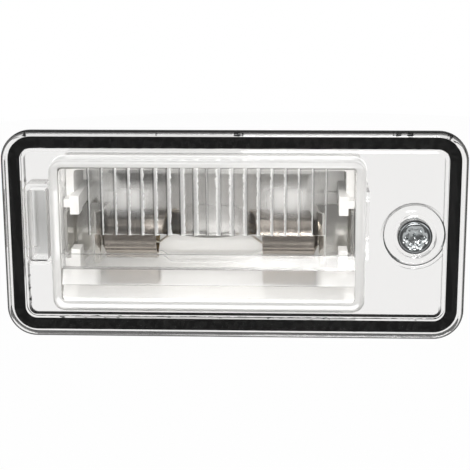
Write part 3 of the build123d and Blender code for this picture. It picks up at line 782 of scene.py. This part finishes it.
class LampFinishes(bpy.types.PropertyGroup):
    """Colours of the lamp's materials."""

    lens_tint: bpy.props.FloatVectorProperty(
        name="Lens tint",
        description="Colour that the clear lens gives to light",
        subtype="COLOR",
        size=3,
        min=0.0,
        max=1.0,
        default=(0.952, 0.945, 0.936),
    )
    seal_colour: bpy.props.FloatVectorProperty(
        name="Seal",
        description="Colour of the rubber seal",
        subtype="COLOR",
        size=3,
        min=0.0,
        max=1.0,
        default=(0.003, 0.003, 0.003),
    )
    housing_colour: bpy.props.FloatVectorProperty(
        name="Housing",
        description="Colour of the moulded housing",
        subtype="COLOR",
        size=3,
        min=0.0,
        max=1.0,
        default=(0.86, 0.86, 0.85),
    )
    reflector_colour: bpy.props.FloatVectorProperty(
        name="Reflector",
        description="Colour of the bright trough behind the bulb",
        subtype="COLOR",
        size=3,
        min=0.0,
        max=1.0,
        default=(0.9, 0.9, 0.895),
    )
    contact_colour: bpy.props.FloatVectorProperty(
        name="Contacts",
        description="Colour of the plated spring strips",
        subtype="COLOR",
        size=3,
        min=0.0,
        max=1.0,
        default=(0.8, 0.79, 0.76),
    )
    cap_colour: bpy.props.FloatVectorProperty(
        name="Bulb caps",
        description="Colour of the bulb's plated caps",
        subtype="COLOR",
        size=3,
        min=0.0,
        max=1.0,
        default=(0.56, 0.51, 0.46),
    )
    screw_colour: bpy.props.FloatVectorProperty(
        name="Screw",
        description="Colour of the zinc-plated screw",
        subtype="COLOR",
        size=3,
        min=0.0,
        max=1.0,
        default=(0.45, 0.472, 0.477),
    )


class FilamentSizes(bpy.types.PropertyGroup):
    """Sizes of the bulb's coiled filament."""

    wire_radius: bpy.props.FloatProperty(
        name="Wire radius",
        description="Radius of the coiled wire",
        subtype="DISTANCE",
        unit="LENGTH",
        default=0.07 * MM,
        precision=6,
    )
    turns: bpy.props.IntProperty(
        name="Turns",
        description="Turns of wire between the two leads",
        default=54,
        min=8,
        max=120,
    )


class ThreadSizes(bpy.types.PropertyGroup):
    """Sizes of the screw's thread."""

    pitch: bpy.props.FloatProperty(
        name="Pitch",
        description="Distance from one thread to the next",
        subtype="DISTANCE",
        unit="LENGTH",
        default=1.3 * MM,
        precision=5,
    )
    depth: bpy.props.FloatProperty(
        name="Depth",
        description="Height of the thread above the core",
        subtype="DISTANCE",
        unit="LENGTH",
        default=0.5 * MM,
        precision=5,
    )


class StageSizes(bpy.types.PropertyGroup):
    """Where the camera and the floor stand."""

    distance: bpy.props.FloatProperty(
        name="Camera distance",
        description="From the lens's front to the camera",
        subtype="DISTANCE",
        unit="LENGTH",
        default=0.245594,
        precision=5,
    )
    azimuth: bpy.props.FloatProperty(
        name="Azimuth",
        description="How far the camera stands towards the screw's end",
        subtype="ANGLE",
        unit="ROTATION",
        default=math.radians(2.770),
    )
    elevation: bpy.props.FloatProperty(
        name="Elevation",
        description="How far the camera stands above the level",
        subtype="ANGLE",
        unit="ROTATION",
        default=math.radians(14.002),
    )
    roll: bpy.props.FloatProperty(
        name="Roll",
        description="Turn of the camera about its line of sight",
        subtype="ANGLE",
        unit="ROTATION",
        default=math.radians(-0.295),
    )
    focal_length: bpy.props.FloatProperty(
        name="Focal length",
        description="Focal length on a 36 mm wide sensor, in millimetres",
        default=102.703,
        min=20.0,
    )
    floor_drop: bpy.props.FloatProperty(
        name="Floor drop",
        description="From the lamp's lower edge to the floor",
        subtype="DISTANCE",
        unit="LENGTH",
        default=0.12,
    )


class LampSettings(bpy.types.PropertyGroup):
    """All the values that a user would change."""

    finishes: bpy.props.PointerProperty(type=LampFinishes)
    filament: bpy.props.PointerProperty(type=FilamentSizes)
    thread: bpy.props.PointerProperty(type=ThreadSizes)
    stage: bpy.props.PointerProperty(type=StageSizes)


class LAMP_OT_lens(bpy.types.Operator):
    """Give the lens its clear moulded plastic."""

    bl_idname = "lamp.lens"
    bl_label = "Clear lens"

    def execute(self, context):
        tint = context.scene.lamp.finishes.lens_tint
        dress(lens_finish("clear_lens", tint), "lens")
        return {"FINISHED"}


class LAMP_OT_seal(bpy.types.Operator):
    """Lay the seal's ring of matt black rubber, with an uneven skin."""

    bl_idname = "lamp.seal"
    bl_label = "Rubber seal"

    def execute(self, context):
        ring = self.lay_ring(context)
        self.press_skin(ring)
        bpy.ops.object.shade_smooth_by_angle(angle=math.radians(40))
        rubber = moulded_finish(
            "seal_rubber",
            context.scene.lamp.finishes.seal_colour,
            roughness=0.6,
            grain_size=0.3 * MM,
            depth=0.03 * MM,
            gloss=0.06,
        )
        ring.data.materials.append(rubber)
        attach(ring, "root")
        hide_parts("seal")
        return {"FINISHED"}

    def lay_ring(self, context):
        """A ring with rounded corners that fills the plain seal's box."""
        low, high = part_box("seal")
        middle = (low + high) / 2
        start_alone()
        bpy.ops.mesh.primitive_plane_add(
            size=1.0,
            location=(middle.x, low.y, middle.z),
            rotation=(math.pi / 2, 0.0, 0.0),
        )
        ring = context.object
        ring.name = "seal_ring"
        ring.scale = (high.x - low.x, high.z - low.z, 1.0)
        settle(ring)
        bpy.ops.object.mode_set(mode="EDIT")
        bpy.ops.mesh.select_all(action="SELECT")
        bpy.ops.mesh.bevel(offset=SEAL_CORNER * MM, segments=18, affect="VERTICES")
        bpy.ops.mesh.select_all(action="DESELECT")
        self.cut_longest(ring)
        self.cut_longest(ring)
        bpy.ops.mesh.select_all(action="SELECT")
        bpy.ops.mesh.inset(thickness=SEAL_WIDTH * MM)
        bpy.ops.mesh.delete(type="FACE")
        bpy.ops.mesh.select_all(action="SELECT")
        bpy.ops.mesh.extrude_region_move(
            TRANSFORM_OT_translate={"value": (0.0, high.y - low.y, 0.0)}
        )
        bpy.ops.mesh.select_all(action="SELECT")
        bpy.ops.mesh.normals_make_consistent(inside=False)
        bpy.ops.mesh.subdivide(number_cuts=3)
        bpy.ops.object.mode_set(mode="OBJECT")
        return ring

    def cut_longest(self, ring):
        """Cut the two longest sides of the outline into short lengths."""
        shape = bmesh.from_edit_mesh(ring.data)
        shape.edges.ensure_lookup_table()
        longest = max(edge.calc_length() for edge in shape.edges)
        for edge in shape.edges:
            edge.select_set(edge.calc_length() > 0.95 * longest)
        bmesh.update_edit_mesh(ring.data)
        bpy.ops.mesh.subdivide(number_cuts=int(longest / (SEAL_CUT * MM)))
        bpy.ops.mesh.select_all(action="DESELECT")

    def press_skin(self, ring):
        """Press shallow lumps into the ring."""
        lumps = bpy.data.textures.new("seal_skin", "CLOUDS")
        lumps.noise_scale = SEAL_LUMP * MM
        lumps.noise_depth = 3
        press = ring.modifiers.new("press", "DISPLACE")
        press.texture = lumps
        press.texture_coords = "LOCAL"
        press.mid_level = 0.5
        press.strength = SEAL_PRESS * MM
        bpy.ops.object.modifier_apply(modifier=press.name)


class LAMP_OT_housing(bpy.types.Operator):
    """Give the housing its white moulded plastic."""

    bl_idname = "lamp.housing"
    bl_label = "White housing"

    def execute(self, context):
        plastic = moulded_finish(
            "white_plastic",
            context.scene.lamp.finishes.housing_colour,
            roughness=0.4,
            grain_size=0.2 * MM,
            depth=0.01 * MM,
        )
        dress(plastic, "housing")
        return {"FINISHED"}


class LAMP_OT_metal(bpy.types.Operator):
    """Give the reflector its bright spray and the contacts their plating."""

    bl_idname = "lamp.metal"
    bl_label = "Reflector and contacts"

    def execute(self, context):
        finishes = context.scene.lamp.finishes
        dress(trough_finish("bright_reflector", finishes.reflector_colour), "reflector")
        plated = drawn_metal(
            "contact_strip",
            finishes.contact_colour,
            roughness=0.2,
            stretch=(1.0, 1.0, 0.05),
            depth=0.002 * MM,
        )
        dress(plated, "contact_left", "contact_right")
        return {"FINISHED"}


class LAMP_OT_bulb(bpy.types.Operator):
    """Give the bulb its glass, its plated caps and its lead wires."""

    bl_idname = "lamp.bulb"
    bl_label = "Festoon bulb"

    def execute(self, context):
        dress(glass_finish("bulb_glass", GLASS_TINT), "bulb_glass")
        colour = context.scene.lamp.finishes.cap_colour
        caps = cap_finish("bulb_cap", colour, roughness=0.2)
        dress(caps, "bulb_cap_left", "bulb_cap_right")
        wire = drawn_metal(
            "lead_wire",
            LEAD_COLOUR,
            roughness=0.35,
            stretch=(0.1, 1.0, 1.0),
            depth=0.004 * MM,
        )
        dress(wire, "bulb_lead_left", "bulb_lead_right")
        return {"FINISHED"}


class LAMP_OT_filament(bpy.types.Operator):
    """Wind the filament's fine coil between the leads, sagging a little."""

    bl_idname = "lamp.filament"
    bl_label = "Filament coil"

    def execute(self, context):
        sizes = context.scene.lamp.filament
        low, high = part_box("bulb_filament")
        coil_radius = (high.y - low.y) / 2
        half_span = (high.x - low.x) / 2
        sag = high.z - low.z - 2 * coil_radius
        bend_radius = (half_span**2 + sag**2) / (2 * sag)
        half_turn = math.asin(half_span / bend_radius)
        length = 2 * half_turn * bend_radius
        start_alone()
        bpy.ops.mesh.primitive_circle_add(
            vertices=6,
            radius=sizes.wire_radius,
            location=(0.0, 0.0, 0.0),
            rotation=(math.pi / 2, 0.0, 0.0),
        )
        coil = context.object
        coil.name = "filament_coil"
        bpy.ops.object.transform_apply(location=False, rotation=True, scale=False)
        bpy.ops.object.mode_set(mode="EDIT")
        bpy.ops.transform.translate(value=(-length / 2, 0.0, coil_radius - sizes.wire_radius))
        bpy.ops.object.mode_set(mode="OBJECT")
        wind(coil, "X", length / sizes.turns, sizes.turns, steps=12)
        tidy_mesh(coil)
        droop = coil.modifiers.new("droop", "SIMPLE_DEFORM")
        droop.deform_method = "BEND"
        droop.deform_axis = "Z"
        droop.angle = 2 * half_turn
        bpy.ops.object.modifier_apply(modifier=droop.name)
        coil.rotation_euler = (math.pi / 2, 0.0, 0.0)
        coil.location = ((low.x + high.x) / 2, (low.y + high.y) / 2, low.z + coil_radius)
        settle(coil)
        bpy.ops.object.shade_smooth_by_angle(angle=math.radians(40))
        wire = drawn_metal(
            "filament_wire",
            FILAMENT_COLOUR,
            roughness=0.4,
            stretch=(1.0, 1.0, 1.0),
            depth=0.004 * MM,
        )
        coil.data.materials.append(wire)
        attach(coil, "root")
        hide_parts("bulb_filament")
        return {"FINISHED"}


class LAMP_OT_screw(bpy.types.Operator):
    """Cut the plain shank off the fixing screw and give it a core and a thread."""

    bl_idname = "lamp.screw"
    bl_label = "Fixing screw"

    def execute(self, context):
        sizes = context.scene.lamp.thread
        low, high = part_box("fixing_screw")
        middle = (low + high) / 2
        tip = Vector((middle.x, high.y, middle.z))
        core = THREAD_RADIUS * MM - sizes.depth
        screw = self.cut_head(context)
        shank = self.turn_shank(context, tip, core)
        ridge = self.wind_thread(context, tip, core, sizes)
        pick(screw)
        shank.select_set(True)
        ridge.select_set(True)
        bpy.ops.object.join()
        bpy.ops.object.shade_smooth_by_angle(angle=math.radians(35))
        colour = context.scene.lamp.finishes.screw_colour
        screw.data.materials.clear()
        screw.data.materials.append(screw_finish("screw_steel", colour, roughness=0.2))
        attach(screw, "root")
        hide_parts("fixing_screw")
        return {"FINISHED"}

    def cut_head(self, context):
        """A copy of the plain screw, cut off just before its neck ends."""
        screw = NODES["fixing_screw"].copy()
        screw.data = screw.data.copy()
        screw.name = "threaded_screw"
        screw.parent = None
        context.collection.objects.link(screw)
        pick(screw)
        bpy.ops.object.mode_set(mode="EDIT")
        bpy.ops.mesh.select_all(action="SELECT")
        bpy.ops.mesh.remove_doubles(threshold=1e-6)
        bpy.ops.mesh.bisect(
            plane_co=(0.0, (NECK_END - NECK_OVERLAP) * MM, 0.0),
            plane_no=(0.0, 1.0, 0.0),
            use_fill=True,
            clear_outer=True,
        )
        bpy.ops.object.mode_set(mode="OBJECT")
        return screw

    def turn_shank(self, context, tip, core):
        """The thread's core, from the neck to the tip."""
        start_alone()
        length = tip.y - (NECK_END - NECK_OVERLAP) * MM
        bpy.ops.mesh.primitive_cylinder_add(
            vertices=40,
            radius=core,
            depth=length,
            location=(tip.x, tip.y - length / 2, tip.z),
            rotation=(-math.pi / 2, 0.0, 0.0),
        )
        shank = context.object
        settle(shank)
        bpy.ops.object.mode_set(mode="EDIT")
        for back in (POINT_LENGTH * MM, POINT_LENGTH * MM / 2):
            bpy.ops.mesh.select_all(action="SELECT")
            bpy.ops.mesh.bisect(plane_co=(0.0, tip.y - back, 0.0), plane_no=(0.0, 1.0, 0.0))
        bpy.ops.object.mode_set(mode="OBJECT")
        self.taper(shank, tip)
        return shank

    def wind_thread(self, context, tip, core, sizes):
        """The thread's ridge, wound from the neck almost to the tip."""
        start_alone()
        bpy.ops.mesh.primitive_circle_add(
            vertices=4,
            radius=sizes.depth,
            location=(tip.x, NECK_END * MM, tip.z),
        )
        ridge = context.object
        bpy.ops.object.mode_set(mode="EDIT")
        bpy.ops.transform.translate(value=(core, 0.0, 0.0))
        bpy.ops.object.mode_set(mode="OBJECT")
        turns = int((tip.y - (NECK_END + THREAD_RUNOUT) * MM) / sizes.pitch)
        wind(ridge, "Y", sizes.pitch, turns, steps=40)
        tidy_mesh(ridge)
        settle(ridge)
        self.taper(ridge, tip)
        return ridge

    def taper(self, piece, tip):
        """Narrow a piece along the screw's point."""
        start = tip.y - POINT_LENGTH * MM
        for point in piece.data.vertices:
            past = max(0.0, point.co.y - start) / (POINT_LENGTH * MM)
            share = 1.0 - POINT_TAPER * past
            point.co.x = tip.x + (point.co.x - tip.x) * share
            point.co.z = tip.z + (point.co.z - tip.z) * share


def ray_kinds(tree):
    """Two values: 1 for the camera's rays, and 1 for them and rays by gloss or through glass."""
    camera = Wire.add(tree, "ShaderNodeLightPath", output="Is Camera Ray")
    outputs = camera.socket.node.outputs
    gloss = Wire(tree, outputs["Is Glossy Ray"])
    through = Wire(tree, outputs["Is Transmission Ray"])
    return camera, camera.most(gloss.most(through))


class LAMP_OT_stage(bpy.types.Operator):
    """Set the pale floor, the soft light and the camera."""

    bl_idname = "lamp.stage"
    bl_label = "Floor, light and camera"

    def execute(self, context):
        sizes = context.scene.lamp.stage
        self.place_floor(context, sizes)
        self.light_world(context.scene)
        self.hang_lamps(context)
        self.aim_camera(context.scene, sizes)
        context.scene.view_settings.view_transform = "Standard"
        return {"FINISHED"}

    def place_floor(self, context, sizes):
        """A pale round floor below the lamp, to the rear, where the lens doesn't mirror it."""
        start_alone()
        level = CAD_BOX[0].z - sizes.floor_drop
        bpy.ops.mesh.primitive_circle_add(
            vertices=96,
            radius=FLOOR_RADIUS,
            fill_type="NGON",
            location=(0.0, FLOOR_BACK, level),
        )
        floor = context.object
        floor.name = "floor"
        settle(floor)
        finish = blank_finish("pale_floor")
        tree = finish.node_tree
        matt = Wire.add(tree, "ShaderNodeBsdfDiffuse", inputs={"Color": opaque(FLOOR_GREY)})
        white = Wire.add(tree, "ShaderNodeEmission", inputs={"Color": opaque(WHITE)})
        _, seen = ray_kinds(tree)
        mixed = blend(tree, seen * 0.97, matt, white)
        floor.data.materials.append(close_finish(finish, mixed))

    def light_world(self, scene):
        """Soft white light all round, dim on the camera's side apart from far below."""
        world = bpy.data.worlds.new("studio")
        world.use_nodes = True
        scene.world = world
        tree = world.node_tree
        tree.nodes.clear()
        ahead = Wire.add(tree, "ShaderNodeTexCoord", output="Generated")
        _, y, z = parts_of(tree, ahead)
        camera, seen = ray_kinds(tree)
        front = (0.0 - y).between(0.6, 0.86) * z.between(-0.62, -0.44)
        level = SKY_UNSEEN + seen * (1.0 - SKY_UNSEEN)
        strength = level * (1.0 - front * (1.0 - camera) * SKY_FRONT_DIM)
        inputs = {"Color": opaque(WHITE), "Strength": strength}
        sky = Wire.add(tree, "ShaderNodeBackground", inputs=inputs)
        Wire.add(tree, "ShaderNodeOutputWorld", inputs={"Surface": sky})

    def hang_lamps(self, context):
        """Four soft boxes: one above, one in front and one at each side."""
        for name, place, width, power in SOFT_BOXES:
            light = bpy.data.lights.new(name, "AREA")
            light.shape = "SQUARE"
            light.size = width
            light.energy = power
            lamp = bpy.data.objects.new(name, light)
            context.collection.objects.link(lamp)
            lamp.location = place
            lamp.rotation_euler = (-Vector(place)).to_track_quat("-Z", "Y").to_euler()

    def aim_camera(self, scene, sizes):
        """The camera stands where the photograph was taken from."""
        target = Vector(CAMERA_TARGET) * MM
        cos_up = math.cos(sizes.elevation)
        back = Vector((
            math.sin(sizes.azimuth) * cos_up,
            -math.cos(sizes.azimuth) * cos_up,
            math.sin(sizes.elevation),
        ))
        right = Vector((0.0, 0.0, 1.0)).cross(back).normalized()
        up = back.cross(right)
        cos_roll = math.cos(sizes.roll)
        sin_roll = math.sin(sizes.roll)
        across = right * cos_roll + up * sin_roll
        upward = up * cos_roll - right * sin_roll
        turn = Matrix((across, upward, back)).transposed().to_4x4()
        data = bpy.data.cameras.new("camera")
        data.sensor_width = SENSOR_WIDTH
        data.lens = sizes.focal_length
        data.clip_start = 0.01
        camera = bpy.data.objects.new("camera", data)
        scene.collection.objects.link(camera)
        camera.matrix_world = Matrix.Translation(target + back * sizes.distance) @ turn
        scene.camera = camera


STEPS = (
    LAMP_OT_lens,
    LAMP_OT_seal,
    LAMP_OT_housing,
    LAMP_OT_metal,
    LAMP_OT_bulb,
    LAMP_OT_filament,
    LAMP_OT_screw,
    LAMP_OT_stage,
)


class LAMP_PT_panel(bpy.types.Panel):
    """Lists the lamp's steps in the sidebar."""

    bl_idname = "LAMP_PT_panel"
    bl_label = "Number plate lamp"
    bl_space_type = "VIEW_3D"
    bl_region_type = "UI"
    bl_category = "Lamp"

    def draw(self, context):
        column = self.layout.column()
        for step in STEPS:
            column.operator(step.bl_idname)
        settings = context.scene.lamp
        for group in (settings.finishes, settings.filament, settings.thread, settings.stage):
            for name in group.bl_rna.properties.keys():
                if name not in ("rna_type", "name"):
                    column.prop(group, name)


GROUPS = (LampFinishes, FilamentSizes, ThreadSizes, StageSizes, LampSettings)
CLASSES = (*GROUPS, *STEPS, LAMP_PT_panel)


def register():
    """Add the classes and the lamp's settings to Blender."""
    for item in CLASSES:
        bpy.utils.register_class(item)
    bpy.types.Scene.lamp = bpy.props.PointerProperty(type=LampSettings)


def unregister():
    """Take the lamp's settings and classes out again."""
    del bpy.types.Scene.lamp
    for item in reversed(CLASSES):
        bpy.utils.unregister_class(item)


def main():
    """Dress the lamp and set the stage."""
    register()
    bpy.ops.lamp.lens()
    bpy.ops.lamp.seal()
    bpy.ops.lamp.housing()
    bpy.ops.lamp.metal()
    bpy.ops.lamp.bulb()
    bpy.ops.lamp.filament()
    bpy.ops.lamp.screw()
    bpy.ops.lamp.stage()


if __name__ == "__main__":
    main()
